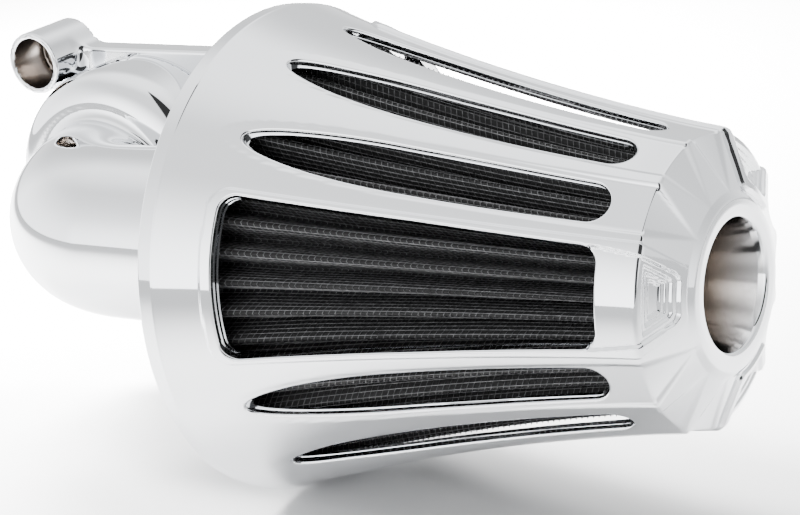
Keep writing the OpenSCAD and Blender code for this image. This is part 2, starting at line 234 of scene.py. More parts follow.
def slot_distance(s, x):
    """Signed distance to a narrow slot: half ellipse behind its belly, tapering to a round end."""
    reach = SLOT_BELLY - SLOT_TIP
    px, py = (SLOT_BELLY - s) / reach, x / SLOT_HALF
    k0 = np.hypot(px, py)
    k1 = np.hypot(px / reach, py / SLOT_HALF) + 1e-9
    behind = k0 * (k0 - 1) / k1
    end = WINDOW_END - SLOT_END_HALF
    t = np.clip((s - SLOT_BELLY) / (end - SLOT_BELLY), 0, 1)
    half = SLOT_HALF + (SLOT_END_HALF - SLOT_HALF) * t ** 1.6
    ahead = np.where(s < end, np.abs(x) - half, np.hypot(s - end, x) - SLOT_END_HALF)
    return np.where(s < SLOT_BELLY, behind, ahead)


def opening_distance(s, r, angle):
    """Signed distance in mm to the nearest opening, positive in the metal."""
    a = folded(angle)
    d = window_distance(s, r, a)
    for c in SLOT_ANGLES:
        d = np.minimum(d, slot_distance(s, r * np.radians(a - c)))
    return d


def relief(s, r, angle, nose):
    """Height of the cover's surface over its plain profile; nose is true past the front edge."""
    a = folded(angle)
    w = r * np.sin(np.radians(a))
    on_nose = smooth(-0.8, 0.8, nose)
    # frame: outside edge, then the flat panel between its two ridges
    half_side = r * np.sin(np.radians(FRAME_ANGLE))
    side = rounded_box(np.maximum(bowed(FRAME_START, w) - s, -50), w - half_side, 7.0)
    half_tip = np.interp(r, [30, EDGE_R], [9.3, EDGE_R * math.sin(math.radians(FRAME_ANGLE)) - 0.4])
    tip = rounded_box(FRAME_TIP_R - r, w - half_tip, 3.0)
    outside = side * (1 - on_nose) + tip * on_nose
    panel_side = rounded_box(WINDOW_END - 4 - s, w - np.interp(s, [142, EDGE_S], [15.4, 13.0]), 3.0)
    panel_tip = rounded_box(PANEL_TIP_R - r, w - np.interp(r, [33, EDGE_R], [6.6, 12.9]), 2.2)
    inside = panel_side * (1 - on_nose) + panel_tip * on_nose
    h = FRAME_HEIGHT * smooth(0.0, -1.0, outside) * smooth(-0.2, 0.7, inside)
    # pocket inside the frame on the nose, with two ledges
    pocket = rounded_box(POCKET_R[0] - r, w - np.interp(r, [34, 45.4], [5.6, 11.2]), 1.6)
    pocket = np.maximum(pocket, r - POCKET_R[1])
    well = sum(drop * smooth(start, end, pocket) for drop, start, end in POCKET_STEPS)
    h = h - well * smooth(0.2, 1.2, nose)
    # troughs along the narrow slots, ending as facets that run to a point on the nose
    fade = np.interp(s, [TROUGH_TIP, SLOT_BELLY], [0.0, 1.0])
    narrowing = np.sqrt(np.clip(1 - (1 - fade) ** 2, 0, 1))
    half_side = np.interp(s, [SLOT_BELLY, EDGE_S], TROUGH_HALVES) * narrowing
    reach = np.clip((r - FACET_TIP_R) / (EDGE_R - FACET_TIP_R), 0, 1)
    half = half_side * (1 - on_nose) + TROUGH_HALVES[1] * reach * on_nose
    depth = np.interp(s, [TROUGH_TIP, 45.0, EDGE_S], [0.0, 0.9, TROUGH_DEPTH]) * (1 - on_nose)
    depth = depth + TROUGH_DEPTH * reach * on_nose
    wall = 0.8 * (1 - on_nose) + (0.8 + 1.0 * reach) * on_nose
    for c in SLOT_ANGLES:
        x = np.abs(r * np.sin(np.radians(a - c)))
        floor_depth = np.maximum(depth - x * x / (2 * r), 0.0)
        h = h - floor_depth * smooth(half + wall, half - wall, x) * smooth(-0.5, 0.4, outside)
    return h


OUTER = Profile(rounded_path(outer_corners(), 1.0))
U_EDGE = OUTER.find(s=EDGE_S - 0.8)
U_EDGE += 0.5 * (OUTER.find(r=EDGE_R - 1.6, after=U_EDGE) - U_EDGE)
U_LIP = OUTER.find(r=APEX_R - 1.0, after=U_EDGE)


def outer_point(u, angle):
    s, r, ns, nr = OUTER.at(u)
    h = relief(s, r, angle, u - U_EDGE) * smooth(9.5, 13.0, u) * smooth(U_LIP + 1.0, U_LIP - 0.5, u)
    return around(s + ns * h, r + nr * h, angle)


def outer_field(u, angle):
    s, r, _, _ = OUTER.at(u)
    return np.where(u < U_EDGE, opening_distance(s, r, angle), 50.0)


INNER_CORNERS = ([(0.0, RIM_R - WALL, 0), (BAND - 0.3, RIM_R - WALL, 0.5)]
                 + [(s, flare(s) - WALL - 0.1, 400.0) for s in np.linspace(10, 152, 20)]
                 + [(EDGE_S - 2.2, EDGE_R - WALL - 0.6, 1.0), (APEX_S - WALL - 1.2, APEX_R, 1.0),
                    (LIP_S - WALL - 2, HOLE_R + 2.4, 1.0), (114.5, 11.4, 1.0), (114.5, 4.1, 0)])
INNER = Profile(rounded_path(INNER_CORNERS, 1.5))
U_INNER_EDGE = INNER.find(r=EDGE_R - WALL - 1.5)


def inner_point(u, angle):
    s, r, _, _ = INNER.at(u)
    return around(s, r, angle)


def inner_field(u, angle):
    s, r, _, _ = INNER.at(u)
    return np.where(u < U_INNER_EDGE, opening_distance(s, r + WALL, angle), 50.0)


def surface_normals(point, u, angle, step_u=0.05, step_a=0.04):
    """Unit normals of a surface of revolution with relief, by finite differences."""
    du = point(u + step_u, angle) - point(u - step_u, angle)
    da = point(u, angle + step_a) - point(u, angle - step_a)
    n = np.cross(du, da)
    return n / (np.linalg.norm(n, axis=-1)[..., None] + 1e-12)


def clipped_grid(point, field, us, angles, level, flip=False):
    """Grid over (u, angle), closed round, kept where field > level.

    Returns (u, angle) points, faces and the cut's segments.
    """
    nu, na = len(us), len(angles)
    uu, aa = np.meshgrid(us, angles, indexing="ij")
    f = field(uu, aa) - level
    f[np.abs(f) < 1e-6] = 1e-6
    uv = [np.stack([uu, aa], -1).reshape(-1, 2)]
    number = np.arange(nu * na).reshape(nu, na)
    cut_of = {}
    cuts = []

    def crossing(i, j, k, l):
        """Number of the point where field is level, between grid points (i, j) and (k, l)."""
        key = (number[i, j % na], number[k, l % na])
        key = (min(key), max(key))
        if key not in cut_of:
            cut_of[key] = len(cuts)
            cuts.append((us[i], angles[j % na] + 360 * (j // na),
                         us[k], angles[l % na] + 360 * (l // na), f[i, j % na]))
        return nu * na + cut_of[key]

    faces, segments = [], []
    fr = np.roll(f, -1, axis=1)
    whole = (f[:-1] > 0) & (f[1:] > 0) & (fr[:-1] > 0) & (fr[1:] > 0)
    none = (f[:-1] <= 0) & (f[1:] <= 0) & (fr[:-1] <= 0) & (fr[1:] <= 0)
    i, j = np.nonzero(whole)
    j2 = (j + 1) % na
    quads = np.stack([number[i, j], number[i + 1, j], number[i + 1, j2], number[i, j2]], -1)
    faces += quads.tolist()
    for i, j in zip(*np.nonzero(~whole & ~none)):
        ring = [(i, j), (i + 1, j), (i + 1, j + 1), (i, j + 1)]
        value = [f[a, b % na] for a, b in ring]
        polygon, cut_in, cut_out = [], None, None
        for k in range(4):
            a, b = ring[k], ring[(k + 1) % 4]
            if value[k] > 0:
                polygon.append(number[a[0], a[1] % na])
            if (value[k] > 0) != (value[(k + 1) % 4] > 0):
                c = crossing(*a, *b)
                polygon.append(c)
                if value[k] > 0:
                    cut_out = c
                else:
                    cut_in = c
        if len(polygon) >= 3:
            faces.append(polygon)
        if cut_in is not None and cut_out is not None:
            segments.append((cut_out, cut_in))
    c = np.array(cuts)
    t0, t1, f0 = np.zeros(len(c)), np.ones(len(c)), c[:, 4]
    for _ in range(12):
        t = (t0 + t1) / 2
        fm = field(c[:, 0] + t * (c[:, 2] - c[:, 0]), c[:, 1] + t * (c[:, 3] - c[:, 1])) - level
        same = (fm > 0) == (f0 > 0)
        t0, t1 = np.where(same, t, t0), np.where(same, t1, t)
    t = (t0 + t1) / 2
    uv.append(np.stack([c[:, 0] + t * (c[:, 2] - c[:, 0]), c[:, 1] + t * (c[:, 3] - c[:, 1])], -1))
    if flip:
        faces = [f[::-1] for f in faces]
    return np.concatenate(uv), faces, np.array(segments)


def graded(stops):
    """Values from stops [(value, spacing), ...]: each stretch is cut at its own spacing."""
    out = []
    for (a, step), (b, _) in zip(stops, stops[1:]):
        out += np.linspace(a, b, max(1, round((b - a) / step)) + 1)[:-1].tolist()
    return out + [stops[-1][0]]


def cover_grid_lines():
    def u_of(s):
        return OUTER.find(s=s, after=3.0)

    us = graded([(0.0, 1.5), (2.0, 0.3), (4.4, 1.5), (u_of(BAND - 0.6), 0.2), (u_of(BAND + 1.6), 2.0),
                 (u_of(17.5), 0.8), (u_of(34.0), 3.2), (u_of(134.0), 1.6), (u_of(139.0), 0.75),
                 (u_of(150.0), 1.2), (u_of(156.0), 0.3), (U_EDGE + 3.0, 0.45), (U_LIP - 6.0, 0.3),
                 (U_LIP + 1.0, 0.5), (OUTER.find(s=LIP_S - 4.0, after=U_LIP), 3.0),
                 (OUTER.find(s=120.0, after=U_LIP + 12), 0.4),
                 (OUTER.find(r=7.5, after=U_LIP + 20), 1.2), (OUTER.u[-1], 1)])
    half = graded([(0, 1.2), (11.5, 0.5), (17.3, 0.4), (25.0, 0.85), (45.6, 0.45), (49.4, 0.85), (60.0, 1)])
    sector = [-a for a in half[:0:-1]] + half[:-1]
    angles = [WINDOW_TURN + 120 * k + a for k in range(3) for a in sector]
    return np.array(us), np.array(angles)


def follow_frame(u, angle):
    """Bends the grid's lines on the nose so that they run along the frames' slanting ridges."""
    a = (angle - WINDOW_TURN + 60) % 120 - 60
    size = np.abs(a)
    _, r, _, _ = OUTER.at(u)
    along = np.clip((EDGE_R - r) / (EDGE_R - 30.0), 0, 1) * (u > U_EDGE - 3)
    along = along * smooth(U_LIP + 8, U_LIP, u)
    return angle - np.sign(a) * FOLLOW_TURN * along * smooth(0, 11, size) * smooth(36, 19, size)


def build_cover(material):
    us, angles = cover_grid_lines()
    uv, faces, segments = clipped_grid(outer_point, outer_field, us, angles, EDGE_ROUND)
    uv[:, 1] = np.where(uv[:, 0] > U_EDGE - 2, follow_frame(uv[:, 0], uv[:, 1]), uv[:, 1])
    points = outer_point(uv[:, 0], uv[:, 1])
    normals = surface_normals(outer_point, uv[:, 0], uv[:, 1])
    # rounded edge and wall of every opening
    rim = np.unique(segments)
    place = {int(v): k for k, v in enumerate(rim)}
    u, a = uv[rim, 0], uv[rim, 1]
    e = 0.05
    gu = (outer_field(u + e, a) - outer_field(u - e, a)) / (2 * e)
    s, r, _, _ = OUTER.at(u)
    ea = np.degrees(e / r)
    ga = (outer_field(u, a + ea) - outer_field(u, a - ea)) / (2 * e)
    tu = outer_point(u + e, a) - outer_point(u - e, a)
    ta = outer_point(u, a + ea) - outer_point(u, a - ea)
    tu /= np.linalg.norm(tu, axis=1)[:, None]
    ta /= np.linalg.norm(ta, axis=1)[:, None]
    into = -(gu[:, None] * tu + ga[:, None] * ta)
    n = normals[rim]
    into -= (into * n).sum(1)[:, None] * n
    into /= np.linalg.norm(into, axis=1)[:, None]
    base = outer_point(u, a)
    rounding = [(turn, EDGE_ROUND * (1 - math.cos(turn))) for turn in np.radians((22.5, 45, 67.5, 90))]
    wall = [(math.pi / 2, (WALL + EDGE_ROUND - 0.4) / 2), (math.pi / 2, WALL + 0.5)]
    rows = [rim]
    total = len(points)
    all_points, all_normals = [points], [normals]
    for turn, drop in rounding + wall:
        all_points.append(base + EDGE_ROUND * math.sin(turn) * into - drop * n)
        all_normals.append(math.sin(turn) * into + math.cos(turn) * n)
        rows.append(np.arange(total, total + len(rim)))
        total += len(rim)
    first = np.array([place[int(v)] for v in segments[:, 0]])
    second = np.array([place[int(v)] for v in segments[:, 1]])
    for upper, lower in zip(rows, rows[1:]):
        faces += np.stack([upper[second], upper[first], lower[first], lower[second]], -1).tolist()
    # inside surface
    inner_us = np.array(graded([(0.0, 2.6), (BAND, 2.0), (20.0, 1.5), (34.0, 6.0), (130.0, 1.8),
                                (INNER.u[-1], 1)]))
    inner_angles = np.array([WINDOW_TURN + a for a in np.arange(0, 360, 2.0)])
    iuv, ifaces, _ = clipped_grid(inner_point, inner_field, inner_us, inner_angles, 0.0, flip=True)
    inner = inner_point(iuv[:, 0], iuv[:, 1])
    all_points.append(inner)
    all_normals.append(-surface_normals(inner_point, iuv[:, 0], iuv[:, 1]))
    faces += [[v + total for v in f] for f in ifaces]
    points = np.concatenate(all_points)
    obj = make_piece("cover", points, faces, material, "cover",
                     np.concatenate(all_normals), ["cover_shell"])
    # faces in the funnel take the chrome with painted shade deep inside
    obj.data.materials.append(funnel_chrome_painted_shade)
    corner = points[[f[0] for f in faces]]
    off_axis = length(corner[:, 1] - AXIS_Y, corner[:, 2] - AXIS_Z)
    in_funnel = (off_axis < HOLE_R + 0.6) & (corner[:, 0] > RIM_X + 100)
    obj.data.polygons.foreach_set("material_index", in_funnel.astype(np.int32))
    return obj


# ---------------------------------------------------------------- filter element

PLEATS, PLEAT_DEPTH, RIDGE_INSET = 44, 12.0, 7.0
PLEAT_TURN = WINDOW_TURN - 2.05
MEDIA_START, MEDIA_END, COTTON_T = 16.0, 147.0, 1.6
WIRE_CELL, WIRE_HALF, WIRE_HEIGHT, WIRE_LIFT = 2.05, 0.15, 0.22, 0.35


def pleat_point(s, turn, lift=0.0):
    """Point on the pleated cotton: turn runs 0 to 1 per pleat, with rounded ridges and valleys."""
    wave = 0.5 + 0.5 * np.cos(2 * np.pi * turn)
    wave = smooth(-0.08, 1.08, wave) * 0.35 + wave * 0.65
    r = flare(s) - RIDGE_INSET - 0.4 - PLEAT_DEPTH * (1 - wave) + lift
    wobble = 0.25 * np.sin(s * 0.11 + 2.3 * np.floor(turn)) * (1 - wave)
    angle = 360.0 / PLEATS * (turn + wobble * 0.12) + PLEAT_TURN
    return around(s, r, angle)


def build_media(material):
    per = 14
    turns = np.linspace(0, PLEATS, PLEATS * per, endpoint=False)
    ss = np.linspace(MEDIA_START - 1, MEDIA_END + 0.5, 34)
    grid_s, grid_t = np.meshgrid(ss, turns, indexing="ij")
    n = len(turns)
    k = np.arange(n)
    points, faces = [], []
    for lift, flip in ((0.0, False), (-COTTON_T, True)):
        start = len(points) * len(ss) * n
        points.append(pleat_point(grid_s, grid_t, lift).reshape(-1, 3))
        for i in range(len(ss) - 1):
            row, next_k = start + i * n, (k + 1) % n
            q = np.stack([row + k, row + n + k, row + n + next_k, row + next_k], -1)
            faces += (q[:, ::-1] if flip else q).tolist()
    return make_piece("pleated_cotton", np.concatenate(points), faces, material,
                      "filter", None, ["filter_media", "filter_inner_mesh"])


def ribbon(points, side, up, half, height):
    """Roof-shaped strip along a line of points; side and up are unit vectors at each point."""
    rows = np.stack([points - side * half, points + up * height, points + side * half], 1)
    n = len(points)
    k = np.arange(n - 1)[:, None] * 3
    quads = np.concatenate([k + np.array([0, 1, 4, 3]), k + np.array([1, 2, 5, 4])])
    return rows.reshape(-1, 3), quads


def build_mesh(material):
    """Wires laid over the cotton: one set follows the pleats round, the other runs along them."""
    e = 1e-3
    points, faces, total = [], [], 0

    def frames(s, t):
        p = pleat_point(s, t, WIRE_LIFT)
        ds = pleat_point(s + e, t, WIRE_LIFT) - pleat_point(s - e, t, WIRE_LIFT)
        dt = pleat_point(s, t + e, WIRE_LIFT) - pleat_point(s, t - e, WIRE_LIFT)
        ds /= np.linalg.norm(ds, axis=-1)[..., None]
        dt /= np.linalg.norm(dt, axis=-1)[..., None]
        up = np.cross(ds, dt)
        return p, ds, dt, up / np.linalg.norm(up, axis=-1)[..., None]

    def add(line, side, up):
        nonlocal total
        p, q = ribbon(line, side, up, WIRE_HALF, WIRE_HEIGHT)
        points.append(p)
        faces.append(q + total)
        total += len(p)

    per = 10
    turns = np.linspace(0, PLEATS, PLEATS * per + 1)
    for s in np.arange(MEDIA_START + 0.5, MEDIA_END - 0.2, WIRE_CELL):
        p, ds, _, up = frames(np.full(len(turns), s), turns)
        add(p, ds, up)
    fine = np.linspace(0, 1, 200)
    path = pleat_point(np.full(200, 80.0), fine)
    run = np.r_[0, np.cumsum(np.linalg.norm(np.diff(path, axis=0), axis=1))]
    count = int(run[-1] / WIRE_CELL)
    at = np.interp((np.arange(count) + 0.5) * run[-1] / count, run, fine)
    ss = np.linspace(MEDIA_START, MEDIA_END, 10)
    for pleat in range(PLEATS):
        for t in at:
            p, _, dt, up = frames(ss, np.full(len(ss), pleat + t))
            add(p + up * 0.1, dt, up)
    return make_piece("wire_mesh", np.concatenate(points), np.concatenate(faces), material,
                      "filter", None, ["filter_outer_mesh"])


# ---------------------------------------------------------------- castings: elbow and bracket

def smooth_min(a, b, k):
    h = np.clip(0.5 + 0.5 * (b - a) / k, 0, 1)
    return b + (a - b) * h - k * h * (1 - h)


def smooth_cut(a, b, k):
    """Solid a less solid b, with a rounded edge."""
    return -smooth_min(-a, b, k)


def rod(d_axis, d_from, d_to, radius, axis_value, edge):
    """Cylinder: distance from its axis, span along it, edge rounding."""
    return rounded_box(d_axis - radius, np.maximum(d_from - axis_value, axis_value - d_to), edge)


HUB_R, HUB_ROUND, HUB_FRONT = 47.5, 12.0, 39.0
TUBE_R, BORE_R, BEND_R = 31.0, 27.5, 36.0
SPIGOT_R, SPIGOT_FRONT, SEAM = 41.0, 17.0, 10.0
SCREW_H, SCREW_TURN, SCREW_R = 15.0, 97.0, 4.0
FLANGE_R, FLANGE_SPAN = 42.0, (-4.3, 1.7)
PLATE_HOLE_AT, PLATE_HOLE, PLATE_HOLE_DEPTH = 36 * math.sqrt(0.5), 2.7, 18
SCREW_HOLE_FLOOR = 30
AXIS_OUT = -AXIS_Y


def duct_distance(x, h, z):
    """Distance from the elbow's centre line; h is outboard from the throttle flange."""
    straight_in = np.where(h <= AXIS_OUT - BEND_R, length(x, z), 1e3)
    straight_out = np.where(x >= BEND_R, length(h - AXIS_OUT, z), 1e3)
    ring = length(x - BEND_R, h - AXIS_OUT + BEND_R)
    inside = (x < BEND_R) & (h > AXIS_OUT - BEND_R)
    bend = np.where(inside, length(ring - BEND_R, z), 1e3)
    return np.minimum(np.minimum(straight_in, straight_out), bend)


def elbow_shape(p):
    x, h, z = p[..., 0], -p[..., 1], p[..., 2]
    rho = length(x, z)
    duct = duct_distance(x, h, z)
    pipe = np.maximum(duct - TUBE_R, x - (RIM_X + FLANGE_SPAN[1]))
    hub = rounded_box(rho - HUB_R, h - HUB_FRONT, HUB_ROUND)
    body = smooth_min(pipe, hub, 5.0)
    body = smooth_cut(body, h - SEAM - 0.15, 1.0)
    flange = rod(length(h - AXIS_OUT, z), RIM_X + FLANGE_SPAN[0], RIM_X + FLANGE_SPAN[1], FLANGE_R, x, 0.8)
    body = smooth_min(body, flange, 3.0)
    body = smooth_cut(body, np.maximum(rho - SPIGOT_R - 0.1, h - SPIGOT_FRONT - 0.2), 0.8)
    body = smooth_cut(body, duct - BORE_R, 0.8)
    from_hole = length(np.abs(h - AXIS_OUT) - PLATE_HOLE_AT, np.abs(z) - PLATE_HOLE_AT)
    body = smooth_cut(body, np.maximum(from_hole - PLATE_HOLE, RIM_X - PLATE_HOLE_DEPTH - x), 0.5)
    for k in range(3):
        a = math.radians(SCREW_TURN + 120 * k)
        along = x * math.cos(a) + z * math.sin(a)
        aside = length(-x * math.sin(a) + z * math.cos(a), h - SCREW_H)
        body = smooth_cut(body, np.maximum(aside - SCREW_R, SCREW_HOLE_FLOOR - along), 1.2)
    return body


PLATE_SPAN, DISC_R, BOSS_R, BOSS_LENGTH = (1.0, 10.0), 48.5, 11.9, 25.0
WEB_Z, WEB_HALF, WEB_SLOPES = (20.0, 36.0), 45.5, (0.34, 1.52)
BOSS_BORE, BOSS_STEP, BOLT_HOLE = 9.6, 8.0, 6.7
BOSSES = ((-40.0, 47.0), (70.0, 47.0))
BAR_Z, BAR_H = 41.5, 17.0
THROTTLE_PCD_R, THROTTLE_HOLE = 34.0, 3.4
HEAD_BORE, HEAD_BORE_L = 5.4, 3.4


def bracket_shape(p):
    x, h, z = p[..., 0], -p[..., 1], p[..., 2]
    rho = length(x, z)
    slab = np.maximum(PLATE_SPAN[0] - h, h - PLATE_SPAN[1])
    (x0, _), (x1, _) = BOSSES
    bar = rounded_box(np.abs(z - BAR_Z) - BAR_H / 2, np.maximum(x0 - x, x - x1), 1.0)
    rise = z - WEB_Z[0]
    rear = -WEB_HALF - x + rise * WEB_SLOPES[0]
    sides = np.maximum(rear, (x - WEB_HALF - rise * WEB_SLOPES[1]) / 1.82)
    web = np.maximum(np.maximum(-rise, z - WEB_Z[1]), sides)
    # the outline is blended in plan, so that the plate's two faces stay flat
    outline = smooth_min(smooth_min(rho - DISC_R, web, 1.5), bar, 1.5)
    body = rounded_box(outline, slab, 0.8)
    bosses = [rod(length(x - bx, z - bz), 0.0, BOSS_LENGTH, BOSS_R, h, 0.7) for bx, bz in BOSSES]
    for boss in bosses:
        body = smooth_min(body, boss, 6.0)
    body = np.maximum(body, PLATE_SPAN[0] - h)
    for boss in bosses:
        body = np.minimum(body, boss)
    body = smooth_min(body, rod(rho, 5.0, SPIGOT_FRONT, SPIGOT_R, h, 0.5), 0.6)
    body = smooth_cut(body, rho - BORE_R, 0.8)
    for bx, bz in BOSSES:
        around_boss = length(x - bx, z - bz)
        body = smooth_cut(body, around_boss - BOLT_HOLE, 0.5)
        body = smooth_cut(body, np.maximum(around_boss - BOSS_BORE, BOSS_STEP - h), 0.7)
    for k in range(3):
        a = math.radians(30 + 120 * k)
        from_hole = length(x - THROTTLE_PCD_R * math.cos(a), z - THROTTLE_PCD_R * math.sin(a))
        body = smooth_cut(body, from_hole - THROTTLE_HOLE, 0.5)
        body = smooth_cut(body, np.maximum(from_hole - HEAD_BORE, SPIGOT_FRONT - HEAD_BORE_L - h), 0.5)
    return body


def gradient(shape, points, e=0.02):
    g = np.stack([shape(points + e * axis) - shape(points - e * axis) for axis in np.eye(3)], -1)
    return g / (np.linalg.norm(g, axis=-1)[:, None] + 1e-12)


def surface_net(shape, low, high, cell):
    """Closed mesh of the surface shape = 0, with its points moved onto that surface."""
    axes = [np.arange(l - 1.5 * cell, h + 2.5 * cell, cell) for l, h in zip(low, high)]
    grid = np.stack(np.meshgrid(*axes, indexing="ij"), -1)
    value = shape(grid)
    solid = value < 0
    ends = (slice(0, -1), slice(1, None))
    count = sum(solid[a, b, c].astype(int) for a in ends for b in ends for c in ends)
    mixed = (count > 0) & (count < 8)
    number = -np.ones(mixed.shape, int)
    number[mixed] = np.arange(mixed.sum())
    index = np.argwhere(mixed)
    points = np.stack([axes[k][index[:, k]] + cell / 2 for k in range(3)], -1)
    for _ in range(7):
        points -= np.clip(shape(points), -cell, cell)[:, None] * gradient(shape, points)
    quads = []
    for axis in range(3):
        a = [slice(None)] * 3
        b = [slice(None)] * 3
        a[axis], b[axis] = slice(0, -1), slice(1, None)
        change = solid[tuple(a)] != solid[tuple(b)]
        where = np.argwhere(change)
        where = where[(where[:, (axis + 1) % 3] > 0) & (where[:, (axis + 2) % 3] > 0)]
        inward = solid[tuple(where.T)]
        one, two = np.eye(3, dtype=int)[(axis + 1) % 3], np.eye(3, dtype=int)[(axis + 2) % 3]
        ring = [number[tuple((where - d).T)] for d in (np.zeros(3, int), one, one + two, two)]
        q = np.stack(ring, -1)
        quads.append(np.where(inward[:, None], q, q[:, ::-1]))
    return points, np.concatenate(quads)


def build_casting(name, shape, node, cell, in_bore):
    """Chromed casting whose bores stay unplated and rough, their dark brownish colour painted shade;
    in_bore tells which points lie in one.
    """
    low, high = (np.array(v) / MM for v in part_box(node))
    points, faces = surface_net(shape, low, high, cell)
    obj = make_piece(name, points, faces, chrome, "mounting", gradient(shape, points), [node])
    obj.data.materials.append(machined_painted_shade)
    # faces inside a bore get the darkened bore material: painted shade over rough machined metal
    bore = in_bore(points[faces].mean(axis=1))
    obj.data.polygons.foreach_set("material_index", bore.astype(np.int32))
    return obj


def in_boss_bore(p):
    x, h, z = p[..., 0], -p[..., 1], p[..., 2]
    near = [length(x - bx, z - bz) < BOSS_BORE + 0.15 for bx, bz in BOSSES]
    return np.any(near, axis=0) & (h < BOSS_LENGTH - 0.6)


def in_duct(p):
    return duct_distance(p[..., 0], -p[..., 1], p[..., 2]) < BORE_R + 0.2


# ---------------------------------------------------------------- materials

def principled(name, **values):
    m = bpy.data.materials.new(name)
    m.use_nodes = True
    shader = m.node_tree.nodes["Principled BSDF"]
    for key, value in values.items():
        socket = shader.inputs[key.replace("_", " ")]
        socket.default_value = (*value, 1.0) if isinstance(value, tuple) else value
    return m, m.node_tree, shader


def textured(name, base, dark, scale, roughness, spread=0.08, bump=0.05, distance=0.0004, **values):
    """Material whose colour and roughness wander with noise in object space."""
    m, tree, shader = principled(name, **values)
    links = tree.links
    coords = tree.nodes.new("ShaderNodeTexCoord")
    noise = tree.nodes.new("ShaderNodeTexNoise")
    noise.inputs["Scale"].default_value = scale
    noise.inputs["Detail"].default_value = 5
    links.new(coords.outputs["Object"], noise.inputs["Vector"])
    ramp = tree.nodes.new("ShaderNodeValToRGB")
    ramp.color_ramp.elements[0].position = 0.3
    ramp.color_ramp.elements[0].color = (*dark, 1)
    ramp.color_ramp.elements[1].position = 0.7
    ramp.color_ramp.elements[1].color = (*base, 1)
    links.new(noise.outputs["Fac"], ramp.inputs["Fac"])
    links.new(ramp.outputs["Color"], shader.inputs["Base Color"])
    rough = tree.nodes.new("ShaderNodeMapRange")
    rough.inputs["To Min"].default_value = max(roughness - spread, 0.02)
    rough.inputs["To Max"].default_value = roughness + spread
    links.new(noise.outputs["Fac"], rough.inputs["Value"])
    links.new(rough.outputs["Result"], shader.inputs["Roughness"])
    if bump:
        node = tree.nodes.new("ShaderNodeBump")
        node.inputs["Strength"].default_value = bump
        node.inputs["Distance"].default_value = distance
        links.new(noise.outputs["Fac"], node.inputs["Height"])
        links.new(node.outputs["Normal"], shader.inputs["Normal"])
    return m


chrome = textured("polished_chrome", (0.86, 0.87, 0.885), (0.83, 0.84, 0.86),
                  9.0, 0.035, 0.015, 0, Metallic=1.0)
# bore metal: rough machined finish, with a dark brownish colour that is painted shade inside the bores
machined_painted_shade = textured("machined_bore_painted_shade", (0.34, 0.30, 0.27), (0.17, 0.15, 0.135),
                    60.0, 0.25, 0.08, 0.1, Metallic=1.0)
zinc = textured("zinc_plate", (0.66, 0.67, 0.68), (0.55, 0.56, 0.57),
                180.0, 0.3, 0.08, 0.1, Metallic=1.0)
black_steel = textured("black_oxide", (0.045, 0.045, 0.05), (0.02, 0.02, 0.022),
                       260.0, 0.4, 0.1, 0.1, Metallic=0.6)
paper = textured("gasket_fibre", (0.2, 0.2, 0.205), (0.12, 0.12, 0.125), 420.0, 0.85, 0.08, 0.3)
rubber = textured("black_rubber", (0.03, 0.03, 0.031), (0.018, 0.018, 0.019), 300.0, 0.6, 0.08, 0.15)
urethane = textured("moulded_urethane", (0.06, 0.06, 0.065), (0.04, 0.04, 0.044), 160.0, 0.5, 0.1, 0.15)
cotton = textured("oiled_cotton", (0.007, 0.0065, 0.0065), (0.003, 0.003, 0.003), 900.0, 0.8, 0.1, 0.5)
wire = textured("coated_wire", (0.15, 0.15, 0.153), (0.04, 0.04, 0.041),
                700.0, 0.35, 0.12, 0, Metallic=0.5)


FUNNEL_FULL_SHADE_S, FUNNEL_NO_SHADE_S = 130, 172


def funnel_painted_shade_finish():
    """Chrome at the nose's mouth; deeper in the funnel its colour darkens to brown-black as painted shade,
    and its plating turns rougher.
    """
    m, tree, shader = principled("funnel_chrome_painted_shade", Metallic=1.0)
    coords = tree.nodes.new("ShaderNodeTexCoord")
    split = tree.nodes.new("ShaderNodeSeparateXYZ")
    tree.links.new(coords.outputs["Object"], split.inputs["Vector"])
    depth = tree.nodes.new("ShaderNodeMapRange")
    depth.inputs["From Min"].default_value = (RIM_X + FUNNEL_FULL_SHADE_S) * MM
    depth.inputs["From Max"].default_value = (RIM_X + FUNNEL_NO_SHADE_S) * MM
    tree.links.new(split.outputs["X"], depth.inputs["Value"])
    # painted shade: brown-black at s 130, brown at s 151, plain chrome at the mouth (s 172)
    ramp = tree.nodes.new("ShaderNodeValToRGB")
    ramp.color_ramp.elements[0].color = (0.07, 0.062, 0.056, 1)
    ramp.color_ramp.elements[1].color = (0.84, 0.85, 0.865, 1)
    ramp.color_ramp.elements.new(0.5).color = (0.3, 0.265, 0.235, 1)
    tree.links.new(depth.outputs["Result"], ramp.inputs["Fac"])
    tree.links.new(ramp.outputs["Color"], shader.inputs["Base Color"])
    rough = tree.nodes.new("ShaderNodeMapRange")
    rough.inputs["To Min"].default_value = 0.3
    rough.inputs["To Max"].default_value = 0.05
    tree.links.new(depth.outputs["Result"], rough.inputs["Value"])
    tree.links.new(rough.outputs["Result"], shader.inputs["Roughness"])
    return m


funnel_chrome_painted_shade = funnel_painted_shade_finish()
NODE_MATERIALS = {
    "chrome": chrome, "zinc_steel": zinc, "black_steel": black_steel, "gasket_paper": paper,
    "rubber": rubber, "urethane": urethane, "filter_cotton": cotton, "wire_mesh": wire,
}
for part in frame["record"]["subparts"]:
    mesh = frame["nodes"][part["node"]].data
    mesh.materials.clear()
    mesh.materials.append(NODE_MATERIALS[part["material_slot"]])

build_cover(chrome)
build_casting("elbow_casting", elbow_shape, "intake_elbow", 1.5, in_duct)
build_casting("bracket_casting", bracket_shape, "mount_bracket", 1.1, in_boss_bore)
build_media(cotton)
build_mesh(wire)

# ---------------------------------------------------------------- studio

